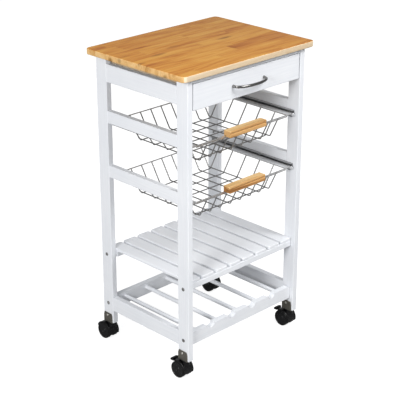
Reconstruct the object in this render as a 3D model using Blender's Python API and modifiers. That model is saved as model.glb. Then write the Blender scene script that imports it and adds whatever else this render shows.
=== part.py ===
"""Rolling utility cart: a painted timber frame with a wooden top, a drawer, two sliding wire
baskets, a slatted shelf, a bottle rack and four twin-wheel casters.

Metres, +Z up. +X is the cart's right as seen from the front, -Y is its front. The floor is
z = 0, and the origin is the middle of the whole cart's footprint, handle and wheels included.
"""

import math

import bmesh
import bpy
from mathutils import Matrix, Vector

# ---- Driving dimensions -------------------------------------------------------------------

GAP = 0.0003                  # left between pieces that touch
EDGE = 0.0013                 # rounding of the timber's edges

TOP_WIDTH = 0.480
TOP_DEPTH = 0.370
HEIGHT = 0.850
TOP_THICKNESS = 0.016
TOP_CORNER = 0.013

BOARD = 0.017                 # thickness of posts, aprons and rails
POST_DEPTH = 0.040
POST_SIDE_INSET = 0.0244      # from the top's end to the post's outer face
POST_FRONT_INSET = 0.0131     # from the top's front edge to the post's front face
POST_FOOT = 0.0554            # height of the post's foot above the floor

APRON_TOP = 0.8128            # a finger's width is left open below the top
APRON_BOTTOM = 0.7642

TOP_RAIL_BOTTOM = 0.8220
DRAWER_FRONT_HALF_WIDTH = 0.1960
DRAWER_FRONT_BOTTOM = 0.7515
DRAWER_FRONT_TOP = 0.8200
DRAWER_FRONT_THICKNESS = 0.016
DRAWER_FACE_SETBACK = 0.0009  # from the posts' front faces
DRAWER_BOX_LENGTH = 0.285
DRAWER_BOX_WALL = 0.010
DRAWER_BOX_HEIGHT = 0.042
DRAWER_SIDE_PLAY = 0.0020
DRAWER_BOTTOM_THICKNESS = 0.004
GUIDE_WIDTH = 0.0140
GUIDE_HEIGHT = 0.0100
GUIDE_BOTTOM = 0.7645

HANDLE_HALF_SPAN = 0.0569     # chrome bow on the drawer
HANDLE_REACH = 0.027
HANDLE_RADIUS = 0.0034
HANDLE_FOOT = 0.0040          # straight stretch at each end, square to the drawer's face
HANDLE_HEIGHT = 0.7855
HANDLE_STEPS = 16

BASKET_LEVELS = {"upper": 0.6525, "lower": 0.4995}   # middle height of each rim wire
BASKET_RAIL_HEIGHT = 0.0335
BASKET_RAIL_BOTTOM_BELOW_RIM = 0.0005
BASKET_DROP = 0.0565          # from the rim wire to the bottom wires
BASKET_WIRE = 0.0032
BASKET_RIM_X = 0.1700
BASKET_RIM_FRONT = -0.1575    # front and back positions here are measured from the top's middle
BASKET_RIM_BACK = 0.1380
BASKET_FLOOR_X = 0.1320
BASKET_FLOOR_FRONT = -0.1295
BASKET_FLOOR_BACK = 0.1030
LENGTHWISE_WIRES = 8
CROSSWISE_WIRES = 5
RIM_BAR_HALF = 0.0012         # flat bar along each long side of the rim
RIM_BAR_TOP = 0.0020          # above and below the rim wire's middle
RIM_BAR_BOTTOM = 0.0030
FLANGE_SHEET = 0.0014         # folded strip welded outside each rim bar
FLANGE_OUTER_X = 0.1915
FLANGE_LIP = 0.0090           # from the rim wire's middle down to the strip's folded edge

RUNNER_SHEET = 0.0012
RUNNER_DEPTH = 0.0097
RUNNER_TOP = 0.0075           # above the rim wire's middle
RUNNER_FRONT = -0.1565
RUNNER_BACK = 0.1550

GRIP_HALF_LENGTH = 0.0685     # wooden bar that sits on each basket's front rim
GRIP_FRONT = -0.1755
GRIP_BACK = -0.1510
GRIP_TOP = 0.0160             # above the rim wire's middle
GRIP_BOTTOM = 0.0020          # below it
GRIP_CHAMFER = 0.0025
GROOVE_FRONT = -0.1600        # groove in the bar's underside, open downwards, for the rim
GROOVE_BACK = -0.1543
GROOVE_TOP = 0.0022

SHELF_SLATS = 8
SLAT_PITCH = 0.0515
SLAT_SPACE = 0.0080
SLAT_THICKNESS = 0.0085
SLAT_CORNER = 0.0050
SHELF_RAIL_BOTTOM = 0.2580
SHELF_RAIL_WIDTH = 0.0300
SHELF_HALF_DEPTH = 0.1585

BOTTOM_RAIL_BOTTOM = 0.0952
BOTTOM_RAIL_TOP = 0.1378

RACK_RAIL_BOTTOM = 0.0953
RACK_RAIL_TOP = 0.1310
RACK_RAIL_MIDDLE = 0.1519     # in the middle of the posts' depth
RACK_DOWELS = 5
RACK_PITCH = 0.080
RACK_DOWEL_RADIUS = 0.0060
RACK_DOWEL_HEIGHT = 0.1200
DOWEL_SIDES = 16
SCOOP_HALF_WIDTH = 0.0145
SCOOP_DEPTH = 0.0105
SCOOP_STEPS = 8
RACK_SHOULDER = 0.0060        # how far in and down the rail's top ends are eased

WHEEL_RADIUS = 0.0240
WHEEL_SIDES = 20
WHEEL_OUTER = 0.0185          # from the caster's middle plane to the wheel's outer face
WHEEL_INNER = 0.0065
TRAIL = 0.0150                # how far the axle trails behind the swivel axis
AXLE_RADIUS = 0.0025
HOOD_RADIUS = 0.0275
HOOD_THICKNESS = 0.0025
HOOD_HALF_WIDTH = 0.0160
HOOD_FRONT_ANGLE = 168.0      # degrees from straight behind the axle, over the top
HOOD_BACK_ANGLE = 20.0
BRAKED_HOOD_BACK_ANGLE = 58.0
WEB_HALF_WIDTH = 0.0055
WEB_HUB_RADIUS = 0.0150
COLLAR_RADIUS = 0.0095
STEM_RADIUS = 0.0040
STEM_LENGTH = 0.0290
SOCKET_RADIUS = 0.0046
SOCKET_DEPTH = 0.0320
ROUND_SIDES = 16

SADDLE_SHEET = 0.0012         # steel bracket folded round the post's foot
SADDLE_HALF_LENGTH = 0.0175
SADDLE_SHIFT = 0.0019
SADDLE_TOP = 0.0830

LEVER_PIVOT = (0.0310, 0.0385)  # behind the swivel axis, above the floor
LEVER_ARM_HALF_WIDTH = 0.0048
LEVER_PAD_HALF_WIDTH = 0.0100

# ---- Worked-out positions -----------------------------------------------------------------

TOP_UNDERSIDE = HEIGHT - TOP_THICKNESS
OUTER_X = TOP_WIDTH / 2 - POST_SIDE_INSET
INNER_X = OUTER_X - BOARD
POST_X = (OUTER_X + INNER_X) / 2
POST_OUT = TOP_DEPTH / 2 - POST_FRONT_INSET
POST_IN = POST_OUT - POST_DEPTH
POST_MIDDLE = (POST_OUT + POST_IN) / 2

AXLE_HEIGHT = WHEEL_RADIUS * math.cos(math.pi / WHEEL_SIDES)   # the wheel stands on a facet
FACE_OUT = POST_OUT - DRAWER_FACE_SETBACK
FRONT_REACH = FACE_OUT + GAP + HANDLE_REACH + HANDLE_RADIUS
BACK_REACH = POST_MIDDLE + TRAIL + HOOD_RADIUS * math.cos(math.radians(HOOD_BACK_ANGLE))
MIDDLE_Y = (FRONT_REACH - BACK_REACH) / 2                      # y of the top's middle
DRAWER_BACK_OF_FRONT = FACE_OUT - DRAWER_FRONT_THICKNESS

SIDES = (("left", -1), ("right", 1))
ENDS = (("front", -1), ("back", 1))

# Turns an outline's own plane (x, y) into the cart's (x, z), facing along Y, or (y, z), facing X.
FACING_Y = Matrix.Rotation(math.pi / 2, 4, "X")
FACING_X = Matrix.Rotation(math.pi / 2, 4, "Z") @ Matrix.Rotation(math.pi / 2, 4, "X")
FACING_Z = Matrix.Identity(4)


# ---- Scene, collections and materials -----------------------------------------------------

for old in list(bpy.data.objects):
    bpy.data.objects.remove(old)

CART = bpy.data.collections.new("rolling_utility_cart")
TOOLS = bpy.data.collections.new("cutters")
bpy.context.scene.collection.children.link(CART)
bpy.context.scene.collection.children.link(TOOLS)


def finish(name, colour, roughness, metallic=0.0):
    """A plain Principled material."""
    material = bpy.data.materials.new(name)
    material.use_nodes = True
    shader = material.node_tree.nodes["Principled BSDF"]
    shader.inputs["Base Color"].default_value = (*colour, 1.0)
    shader.inputs["Roughness"].default_value = roughness
    shader.inputs["Metallic"].default_value = metallic
    return material


WHITE_PAINT = finish("white_paint", (0.80, 0.81, 0.83), 0.40)
TOP_WOOD = finish("top_wood", (0.68, 0.42, 0.19), 0.45)
GRIP_WOOD = finish("grip_wood", (0.72, 0.44, 0.18), 0.50)
RAW_WOOD = finish("raw_wood", (0.70, 0.58, 0.42), 0.60)
CHROME = finish("chrome", (0.62, 0.62, 0.63), 0.15, 1.0)
RUNNER_STEEL = finish("runner_steel", (0.66, 0.67, 0.70), 0.35, 0.8)
SADDLE_STEEL = finish("saddle_steel", (0.22, 0.21, 0.18), 0.45, 0.8)
BLACK_NYLON = finish("black_nylon", (0.012, 0.012, 0.013), 0.28)


# ---- Helpers ------------------------------------------------------------------------------

def joint_empty(name, location, parent=None):
    """An empty on a joint's axis; its location is a world position."""
    empty = bpy.data.objects.new(name, None)
    CART.objects.link(empty)
    place(empty, location, parent)
    return empty


def world_place(item):
    """World position of an unrotated object, from its chain of parents."""
    total = Vector(item.location)
    while item.parent:
        item = item.parent
        total += item.location
    return total


def place(item, location, parent=None):
    """Puts an object at a world position, under a parent that isn't rotated."""
    item.location = Vector(location)
    if parent:
        item.parent = parent
        item.location -= world_place(parent)


def add_mesh(name, shape, material, location, parent=None):
    """Makes the bmesh an object of the cart; without a material it is a cutter."""
    mesh = bpy.data.meshes.new(name)
    shape.to_mesh(mesh)
    shape.free()
    piece = bpy.data.objects.new(name, mesh)
    if material:
        mesh.materials.append(material)
        CART.objects.link(piece)
    else:
        TOOLS.objects.link(piece)
        piece.hide_render = True
        piece.display_type = "WIRE"
    place(piece, location, parent)
    return piece


def round_edges(piece, width):
    """Eases every sharp edge of a piece."""
    bevel = piece.modifiers.new("edges", "BEVEL")
    bevel.width = width
    bevel.segments = 1
    bevel.limit_method = "ANGLE"
    bevel.angle_limit = math.radians(50)


def combine(piece, tool, operation):
    """Cuts a tool from a piece (DIFFERENCE) or welds it on (UNION)."""
    boolean = piece.modifiers.new(tool.name, "BOOLEAN")
    boolean.operation = operation
    boolean.object = tool


def board(name, low, high, material=WHITE_PAINT, parent=None, corner=0.0, edge=EDGE):
    """A plank from one corner to the other; corner rounds its upright edges."""
    low = Vector(low)
    high = Vector(high)
    size = high - low
    shape = bmesh.new()
    bmesh.ops.create_cube(shape, size=1.0)
    bmesh.ops.scale(shape, vec=size, verts=shape.verts)
    if corner:
        upright = [e for e in shape.edges if abs(e.verts[0].co.z - e.verts[1].co.z) > size.z / 2]
        bmesh.ops.bevel(shape, geom=upright, offset=corner, segments=3, profile=0.5, affect="EDGES")
    piece = add_mesh(name, shape, material, (low + high) / 2, parent)
    if edge:
        round_edges(piece, edge)
    return piece


def cylinder(name, radius, low, high, material=None, parent=None, sides=ROUND_SIDES, axis="Z"):
    """A round bar between two points that lie along the given axis."""
    low = Vector(low)
    high = Vector(high)
    shape = bmesh.new()
    bmesh.ops.create_cone(shape, cap_ends=True, segments=sides, radius1=radius, radius2=radius,
                          depth=(high - low).length)
    turn = {"X": Matrix.Rotation(math.pi / 2, 4, "Y"),
            "Y": Matrix.Rotation(math.pi / 2, 4, "X"),
            "Z": Matrix.Identity(4)}[axis]
    bmesh.ops.transform(shape, matrix=turn, verts=shape.verts)
    return add_mesh(name, shape, material, (low + high) / 2, parent)


def outline(name, points, half_thickness, location, facing, material=None, parent=None):
    """A flat outline thickened evenly to both sides of its plane, as a mesh."""
    curve = bpy.data.curves.new(name, "CURVE")
    curve.dimensions = "2D"
    curve.fill_mode = "BOTH"
    curve.extrude = half_thickness
    spline = curve.splines.new("POLY")
    spline.points.add(len(points) - 1)
    for point, (across, up) in zip(spline.points, points):
        point.co = (across, up, 0.0, 1.0)
    spline.use_cyclic_u = True
    return curve_to_piece(name, curve, facing, location, material, parent)


def curve_to_piece(name, curve, facing, location, material, parent):
    """Turns a curve into a closed mesh piece, with its caps welded on."""
    holder = bpy.data.objects.new(name + "_curve", curve)
    TOOLS.objects.link(holder)
    depsgraph = bpy.context.evaluated_depsgraph_get()
    evaluated = bpy.data.meshes.new_from_object(holder.evaluated_get(depsgraph))
    shape = bmesh.new()
    shape.from_mesh(evaluated)
    bmesh.ops.remove_doubles(shape, verts=shape.verts, dist=0.00001)
    bmesh.ops.transform(shape, matrix=facing, verts=shape.verts)
    bpy.data.objects.remove(holder)
    return add_mesh(name, shape, material, location, parent)


def arc(centre, radius, start, stop, steps):
    """Points of an arc, from one angle to another in degrees."""
    angles = [math.radians(start + (stop - start) * i / steps) for i in range(steps + 1)]
    return [(centre[0] + radius * math.cos(a), centre[1] + radius * math.sin(a)) for a in angles]


def side_span(sign, inner, outer):
    """The low and high x of something that reaches from inner to outer on one side."""
    return min(sign * inner, sign * outer), max(sign * inner, sign * outer)


def depth_span(sign, inner, outer):
    """The low and high y of something near the front (-1) or the back (1) of the frame."""
    return MIDDLE_Y + min(sign * inner, sign * outer), MIDDLE_Y + max(sign * inner, sign * outer)


# ---- Top and frame ------------------------------------------------------------------------

def make_tabletop():
    half_depth = TOP_DEPTH / 2
    board("tabletop",
          (-TOP_WIDTH / 2, MIDDLE_Y - half_depth, TOP_UNDERSIDE),
          (TOP_WIDTH / 2, MIDDLE_Y + half_depth, HEIGHT),
          TOP_WOOD, corner=TOP_CORNER, edge=0.0020)


def make_posts():
    """Four flat posts, each with a socket for its caster's stem."""
    for end, toward in ENDS:
        for side, sign in SIDES:
            x_low, x_high = side_span(sign, INNER_X, OUTER_X)
            y_low, y_high = depth_span(toward, POST_IN, POST_OUT)
            post = board(f"post_{end}_{side}", (x_low, y_low, POST_FOOT),
                         (x_high, y_high, TOP_UNDERSIDE - GAP))
            middle = (sign * POST_X, MIDDLE_Y + toward * POST_MIDDLE)
            socket = cylinder(f"socket_{end}_{side}", SOCKET_RADIUS,
                              (*middle, POST_FOOT - 0.010), (*middle, POST_FOOT + SOCKET_DEPTH))
            combine(post, socket, "DIFFERENCE")


def make_side_board(name, sign, bottom, top):
    """A board between a side's two posts, flush with their outer faces."""
    x_low, x_high = side_span(sign, INNER_X, OUTER_X)
    board(name, (x_low, MIDDLE_Y - POST_IN + GAP, bottom), (x_high, MIDDLE_Y + POST_IN - GAP, top))


def make_side_boards():
    for side, sign in SIDES:
        make_side_board(f"apron_{side}", sign, APRON_BOTTOM, APRON_TOP)
        make_side_board(f"bottom_rail_{side}", sign, BOTTOM_RAIL_BOTTOM, BOTTOM_RAIL_TOP)
        for level, rim in BASKET_LEVELS.items():
            bottom = rim - BASKET_RAIL_BOTTOM_BELOW_RIM
            make_side_board(f"basket_rail_{level}_{side}", sign, bottom, bottom + BASKET_RAIL_HEIGHT)


def make_cross_boards():
    """The thin rail over the drawer and the apron behind it."""
    reach = INNER_X - GAP
    y_low, y_high = depth_span(-1, POST_OUT - 0.0005 - BOARD, POST_OUT - 0.0005)
    board("top_rail_front", (-reach, y_low, TOP_RAIL_BOTTOM), (reach, y_high, TOP_UNDERSIDE - GAP))
    y_low, y_high = depth_span(1, POST_MIDDLE - BOARD / 2, POST_MIDDLE + BOARD / 2)
    board("apron_back", (-reach, y_low, APRON_BOTTOM), (reach, y_high, TOP_UNDERSIDE - GAP))


# ---- Drawer -------------------------------------------------------------------------------

def make_drawer_guides():
    for side, sign in SIDES:
        x_low, x_high = side_span(sign, INNER_X - GUIDE_WIDTH, INNER_X - GAP)
        board(f"drawer_guide_{side}",
              (x_low, MIDDLE_Y - DRAWER_BACK_OF_FRONT + 0.001, GUIDE_BOTTOM),
              (x_high, MIDDLE_Y + POST_MIDDLE - BOARD / 2 - GAP, GUIDE_BOTTOM + GUIDE_HEIGHT),
              RAW_WOOD, edge=0.0)


def make_drawer():
    """Front, U-shaped box, bottom panel and bow handle, all on the drawer's slide."""
    slide = joint_empty("drawer_slide", (0, MIDDLE_Y, DRAWER_FRONT_BOTTOM))
    front_y = MIDDLE_Y - FACE_OUT
    rear_of_front = MIDDLE_Y - DRAWER_BACK_OF_FRONT
    board("drawer_front",
          (-DRAWER_FRONT_HALF_WIDTH, front_y, DRAWER_FRONT_BOTTOM),
          (DRAWER_FRONT_HALF_WIDTH, rear_of_front, DRAWER_FRONT_TOP), parent=slide)

    outer = INNER_X - DRAWER_SIDE_PLAY
    inner = outer - DRAWER_BOX_WALL
    near = rear_of_front + GAP
    far = near + DRAWER_BOX_LENGTH
    bottom = GUIDE_BOTTOM + GUIDE_HEIGHT + GAP
    walls = [(-outer, near), (-inner, near), (-inner, far - DRAWER_BOX_WALL),
             (inner, far - DRAWER_BOX_WALL), (inner, near), (outer, near), (outer, far), (-outer, far)]
    outline("drawer_box", walls, DRAWER_BOX_HEIGHT / 2, (0, 0, bottom + DRAWER_BOX_HEIGHT / 2),
            FACING_Z, RAW_WOOD, slide)
    panel_bottom = bottom + 0.003
    board("drawer_bottom",
          (-inner + GAP, near, panel_bottom),
          (inner - GAP, far - DRAWER_BOX_WALL - GAP, panel_bottom + DRAWER_BOTTOM_THICKNESS),
          RAW_WOOD, slide, edge=0.0)
    make_drawer_handle(slide, front_y - GAP)


def make_drawer_handle(slide, face_y):
    """A round bar bowed out from the drawer's face and back."""
    curve = bpy.data.curves.new("drawer_handle", "CURVE")
    curve.dimensions = "3D"
    curve.bevel_depth = HANDLE_RADIUS
    curve.bevel_resolution = 2
    curve.use_fill_caps = True
    spline = curve.splines.new("POLY")
    route = [(-HANDLE_HALF_SPAN, 0.0)]
    for i in range(HANDLE_STEPS + 1):
        turn = math.pi * i / HANDLE_STEPS
        bow = (HANDLE_REACH - HANDLE_FOOT) * math.sin(turn) ** 0.8
        route.append((-HANDLE_HALF_SPAN * math.cos(turn), -HANDLE_FOOT - bow))
    route.append((HANDLE_HALF_SPAN, 0.0))
    spline.points.add(len(route) - 1)
    for point, (across, out) in zip(spline.points, route):
        point.co = (across, out, 0.0, 1.0)
    curve_to_piece("drawer_handle", curve, FACING_Z, (0, face_y, HANDLE_HEIGHT), CHROME, slide)


# ---- Baskets and their runners ------------------------------------------------------------

def make_runners():
    """Folded channels, open towards the basket, on the inner faces of posts and rails."""
    back = INNER_X - GAP
    front = back - RUNNER_DEPTH
    for level, rim in BASKET_LEVELS.items():
        top = rim + RUNNER_TOP
        bottom = rim - FLANGE_LIP - GAP - RUNNER_SHEET
        for side, sign in SIDES:
            profile = [(back, top), (front, top), (front, top - RUNNER_SHEET),
                       (back - RUNNER_SHEET, top - RUNNER_SHEET),
                       (back - RUNNER_SHEET, bottom + RUNNER_SHEET),
                       (front, bottom + RUNNER_SHEET), (front, bottom), (back, bottom)]
            profile = [(sign * across, up) for across, up in profile]
            outline(f"runner_{level}_{side}", profile, (RUNNER_BACK - RUNNER_FRONT) / 2,
                    (0, MIDDLE_Y + (RUNNER_BACK + RUNNER_FRONT) / 2, 0), FACING_Y, RUNNER_STEEL)


def basket_cage(name, rim, slide):
    """A grid whose border is lifted to the rim, with its lines thickened into wires."""
    columns = LENGTHWISE_WIRES + 1
    rows = CROSSWISE_WIRES + 1
    shape = bmesh.new()
    bmesh.ops.create_grid(shape, x_segments=columns, y_segments=rows, size=1.0)
    floor_length = BASKET_FLOOR_BACK - BASKET_FLOOR_FRONT
    for vert in shape.verts:
        column = round((vert.co.x + 1) / 2 * columns)
        row = round((vert.co.y + 1) / 2 * rows)
        x = BASKET_FLOOR_X * (2 * (column - 1) / (columns - 2) - 1)
        y = BASKET_FLOOR_FRONT + floor_length * (row - 1) / (rows - 2)
        z = -BASKET_DROP
        if column in (0, columns):
            x = BASKET_RIM_X if column else -BASKET_RIM_X
            z = 0.0
        if row in (0, rows):
            y = BASKET_RIM_BACK if row else BASKET_RIM_FRONT
            z = 0.0
        vert.co = (x, y, z)
    cage = add_mesh(name, shape, CHROME, (0, MIDDLE_Y, rim), slide)
    wires = cage.modifiers.new("wires", "WIREFRAME")
    wires.thickness = BASKET_WIRE
    wires.offset = 0.0
    wires.use_boundary = True
    wires.use_replace = True
    wires.use_even_offset = False
    wires.use_relative_offset = False
    return cage


def make_basket(level, rim):
    """Wire cage, the folded strips that slide in the runners, and the wooden grip."""
    slide = joint_empty(f"{level}_basket_slide", (0, MIDDLE_Y, rim))
    cage = basket_cage(f"{level}_basket", rim, slide)
    for side, sign in SIDES:
        for part, inner, outer, bottom, top in (
                ("rim_bar", BASKET_RIM_X - RIM_BAR_HALF, BASKET_RIM_X + RIM_BAR_HALF,
                 RIM_BAR_BOTTOM, RIM_BAR_TOP),
                ("flange", BASKET_RIM_X, FLANGE_OUTER_X, FLANGE_SHEET / 2, FLANGE_SHEET / 2),
                ("lip", FLANGE_OUTER_X - FLANGE_SHEET, FLANGE_OUTER_X, FLANGE_LIP,
                 FLANGE_SHEET / 2)):
            x_low, x_high = side_span(sign, inner, outer)
            strip = board(f"{level}_{part}_{side}",
                          (x_low, MIDDLE_Y + BASKET_RIM_FRONT - 0.001, rim - bottom),
                          (x_high, MIDDLE_Y + BASKET_RIM_BACK + 0.001, rim + top), None, edge=0.0)
            combine(cage, strip, "UNION")

    grip = board(f"{level}_basket_handle",
                 (-GRIP_HALF_LENGTH, MIDDLE_Y + GRIP_FRONT, rim - GRIP_BOTTOM),
                 (GRIP_HALF_LENGTH, MIDDLE_Y + GRIP_BACK, rim + GRIP_TOP), GRIP_WOOD, slide,
                 edge=GRIP_CHAMFER)
    groove = board(f"{level}_grip_groove",
                   (-2 * GRIP_HALF_LENGTH, MIDDLE_Y + GROOVE_FRONT, rim - 2 * GRIP_BOTTOM),
                   (2 * GRIP_HALF_LENGTH, MIDDLE_Y + GROOVE_BACK, rim + GROOVE_TOP), None, edge=0.0)
    combine(grip, groove, "DIFFERENCE")


# ---- Shelf and bottle rack ----------------------------------------------------------------

def make_shelf():
    reach = INNER_X - GAP
    rail_top = SHELF_RAIL_BOTTOM + BOARD
    for end, toward in ENDS:
        y_low, y_high = depth_span(toward, SHELF_HALF_DEPTH - SHELF_RAIL_WIDTH, SHELF_HALF_DEPTH)
        board(f"shelf_rail_{end}", (-reach, y_low, SHELF_RAIL_BOTTOM), (reach, y_high, rail_top))
    for i in range(SHELF_SLATS):
        left = (i - SHELF_SLATS / 2) * SLAT_PITCH + SLAT_SPACE / 2
        right = left + SLAT_PITCH - SLAT_SPACE
        board(f"shelf_slat_{i + 1}",
              (max(left, -reach), MIDDLE_Y - SHELF_HALF_DEPTH, rail_top + GAP),
              (min(right, reach), MIDDLE_Y + SHELF_HALF_DEPTH, rail_top + GAP + SLAT_THICKNESS),
              corner=SLAT_CORNER)


def rack_outline(scooped):
    """A rail with eased top ends; a scooped one has a round dip between each two dowels."""
    reach = INNER_X - GAP
    scoop_radius = (SCOOP_HALF_WIDTH ** 2 + SCOOP_DEPTH ** 2) / (2 * SCOOP_DEPTH)
    half_angle = math.degrees(math.asin(SCOOP_HALF_WIDTH / scoop_radius))
    points = [(-reach, RACK_RAIL_BOTTOM), (-reach, RACK_RAIL_TOP - RACK_SHOULDER),
              (-reach + RACK_SHOULDER, RACK_RAIL_TOP)]
    for i in range(RACK_DOWELS - 1 if scooped else 0):
        middle = (i + 1 - (RACK_DOWELS - 1) / 2) * RACK_PITCH - RACK_PITCH / 2
        centre = (middle, RACK_RAIL_TOP - SCOOP_DEPTH + scoop_radius)
        points += arc(centre, scoop_radius, 270 - half_angle, 270 + half_angle, SCOOP_STEPS)
    points += [(reach - RACK_SHOULDER, RACK_RAIL_TOP), (reach, RACK_RAIL_TOP - RACK_SHOULDER),
               (reach, RACK_RAIL_BOTTOM)]
    return points


def make_bottle_rack():
    for end, toward in ENDS:
        outline(f"rack_rail_{end}", rack_outline(end == "front"), BOARD / 2,
                (0, MIDDLE_Y + toward * RACK_RAIL_MIDDLE, 0), FACING_Y, WHITE_PAINT)
    reach = RACK_RAIL_MIDDLE - BOARD / 2 - GAP
    for i in range(RACK_DOWELS):
        x = (i - (RACK_DOWELS - 1) / 2) * RACK_PITCH
        cylinder(f"rack_dowel_{i + 1}", RACK_DOWEL_RADIUS,
                 (x, MIDDLE_Y - reach, RACK_DOWEL_HEIGHT), (x, MIDDLE_Y + reach, RACK_DOWEL_HEIGHT),
                 WHITE_PAINT, sides=DOWEL_SIDES, axis="Y")


# ---- Casters ------------------------------------------------------------------------------

def make_saddle(name, x, y):
    """A steel strip folded up both faces of the post's foot, with eased top corners."""
    inside = BOARD / 2 + GAP
    outside = inside + SADDLE_SHEET
    under = POST_FOOT - GAP - SADDLE_SHEET
    profile = [(-outside, under), (outside, under), (outside, SADDLE_TOP), (inside, SADDLE_TOP),
               (inside, POST_FOOT - GAP), (-inside, POST_FOOT - GAP), (-inside, SADDLE_TOP),
               (-outside, SADDLE_TOP)]
    middle_y = y + SADDLE_SHIFT
    saddle = outline(f"{name}_bracket", profile, SADDLE_HALF_LENGTH, (x, middle_y, 0), FACING_Y,
                     SADDLE_STEEL)
    for end, toward in ENDS:
        edge = toward * SADDLE_HALF_LENGTH
        corner = [(edge + toward * 0.0015, SADDLE_TOP - 0.0135),
                  (edge - toward * 0.0045, SADDLE_TOP + 0.0045),
                  (edge + toward * 0.0060, SADDLE_TOP + 0.0060)]
        cutter = outline(f"{name}_corner_{end}", corner, 2 * outside, (x, middle_y, 0), FACING_X)
        combine(saddle, cutter, "DIFFERENCE")
    hole = cylinder(f"{name}_stem_hole", SOCKET_RADIUS, (x, y, under - 0.002),
                    (x, y, POST_FOOT + 0.002))
    combine(saddle, hole, "DIFFERENCE")
    return under


def make_housing(name, x, y, swivel, under, hood_back):
    """Mudguard, web between the wheels, collar and swivel stem, as one moulding."""
    axle = (TRAIL, AXLE_HEIGHT)
    rim = arc(axle, HOOD_RADIUS, hood_back, HOOD_FRONT_ANGLE, 12)
    rim += arc(axle, HOOD_RADIUS - HOOD_THICKNESS, HOOD_FRONT_ANGLE, hood_back, 12)
    housing = outline(f"{name}_housing", rim, HOOD_HALF_WIDTH, (x, y, 0), FACING_X, BLACK_NYLON,
                      swivel)
    plate = arc(axle, HOOD_RADIUS - HOOD_THICKNESS / 2, hood_back + 2, HOOD_FRONT_ANGLE - 2, 10)
    plate += arc(axle, WEB_HUB_RADIUS, HOOD_FRONT_ANGLE - 2, hood_back + 362, 12)
    web = outline(f"{name}_web", plate, WEB_HALF_WIDTH, (x, y, 0), FACING_X)
    collar_top = under - GAP
    neck = board(f"{name}_neck", (x - WEB_HALF_WIDTH, y - COLLAR_RADIUS, AXLE_HEIGHT + 0.012),
                 (x + WEB_HALF_WIDTH, y + COLLAR_RADIUS, collar_top - 0.001), None, edge=0.0)
    collar = cylinder(f"{name}_collar", COLLAR_RADIUS, (x, y, collar_top - 0.0035),
                      (x, y, collar_top))
    stem = cylinder(f"{name}_stem", STEM_RADIUS, (x, y, AXLE_HEIGHT + 0.016),
                    (x, y, POST_FOOT + STEM_LENGTH))
    for part in (web, neck, collar, stem):
        combine(housing, part, "UNION")
    bore = cylinder(f"{name}_axle_bore", AXLE_RADIUS * 1.25,
                    (x - 0.010, y + TRAIL, AXLE_HEIGHT), (x + 0.010, y + TRAIL, AXLE_HEIGHT), axis="X")
    combine(housing, bore, "DIFFERENCE")


def make_wheels(name, x, y, swivel):
    """Two wheels and their axle, turned as one piece about the axle."""
    half = [(0.0, WHEEL_OUTER), (WHEEL_RADIUS - 0.0015, WHEEL_OUTER),
            (WHEEL_RADIUS, WHEEL_OUTER - 0.0015), (WHEEL_RADIUS, WHEEL_INNER),
            (AXLE_RADIUS, WHEEL_INNER)]
    profile = half + [(radius, -along) for radius, along in reversed(half)]
    shape = bmesh.new()
    verts = [shape.verts.new((radius, 0.0, along)) for radius, along in profile]
    for first, second in zip(verts, verts[1:]):
        shape.edges.new((first, second))
    spin = joint_empty(f"{name}_axle", (x, y + TRAIL, AXLE_HEIGHT), swivel)
    wheels = add_mesh(f"{name}_wheels", shape, BLACK_NYLON, (x, y + TRAIL, AXLE_HEIGHT), spin)
    wheels.rotation_euler = (0.0, math.pi / 2, 0.0)
    screw = wheels.modifiers.new("turn", "SCREW")
    screw.axis = "Z"
    screw.steps = WHEEL_SIDES
    screw.render_steps = WHEEL_SIDES
    screw.use_merge_vertices = True
    screw.merge_threshold = 0.00001
    # Half a step round puts a facet, not a ridge, on the floor.
    half_step = Matrix.Rotation(math.pi / WHEEL_SIDES, 4, "Z")
    wheels.data.transform(half_step)


def make_brake_lever(name, x, y, swivel):
    """A narrow arm between the wheels with a wider foot pad behind them."""
    pivot_y, pivot_z = LEVER_PIVOT
    pivot = joint_empty(f"{name}_brake_pivot", (x, y + pivot_y, pivot_z), swivel)
    arm = [(-0.0025, -0.0020), (0.0025, -0.0040), (0.0118, -0.0012), (0.0088, 0.0062),
           (-0.0010, 0.0040)]
    pad = [(0.0095, -0.0018), (0.0196, -0.0016), (0.0196, 0.0030), (0.0170, 0.0052),
           (0.0080, 0.0074)]
    lever = outline(f"{name}_brake_lever", pad, LEVER_PAD_HALF_WIDTH,
                    (x, y + pivot_y, pivot_z), FACING_X, BLACK_NYLON, pivot)
    stalk = outline(f"{name}_brake_arm", arm, LEVER_ARM_HALF_WIDTH, (x, y + pivot_y, pivot_z),
                    FACING_X)
    combine(lever, stalk, "UNION")


def make_casters():
    """One caster under each post; only the two at the front have a brake."""
    for end, toward in ENDS:
        for side, sign in SIDES:
            name = f"caster_{end}_{side}"
            x = sign * POST_X
            y = MIDDLE_Y + toward * POST_MIDDLE
            braked = end == "front"
            under = make_saddle(name, x, y)
            swivel = joint_empty(f"{name}_swivel", (x, y, under))
            hood_back = BRAKED_HOOD_BACK_ANGLE if braked else HOOD_BACK_ANGLE
            make_housing(name, x, y, swivel, under, hood_back)
            make_wheels(name, x, y, swivel)
            if braked:
                make_brake_lever(name, x, y, swivel)


make_tabletop()
make_posts()
make_side_boards()
make_cross_boards()
make_drawer_guides()
make_drawer()
make_runners()
for basket_level, rim_height in BASKET_LEVELS.items():
    make_basket(basket_level, rim_height)
make_shelf()
make_bottle_rack()
make_casters()
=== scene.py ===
"""Rolling utility cart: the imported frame, dressed for a studio picture.

Metres, +Z up; the cart's front faces -Y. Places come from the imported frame's own boxes, and from
the dimensions below for what those boxes don't give.
"""

import math

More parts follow.
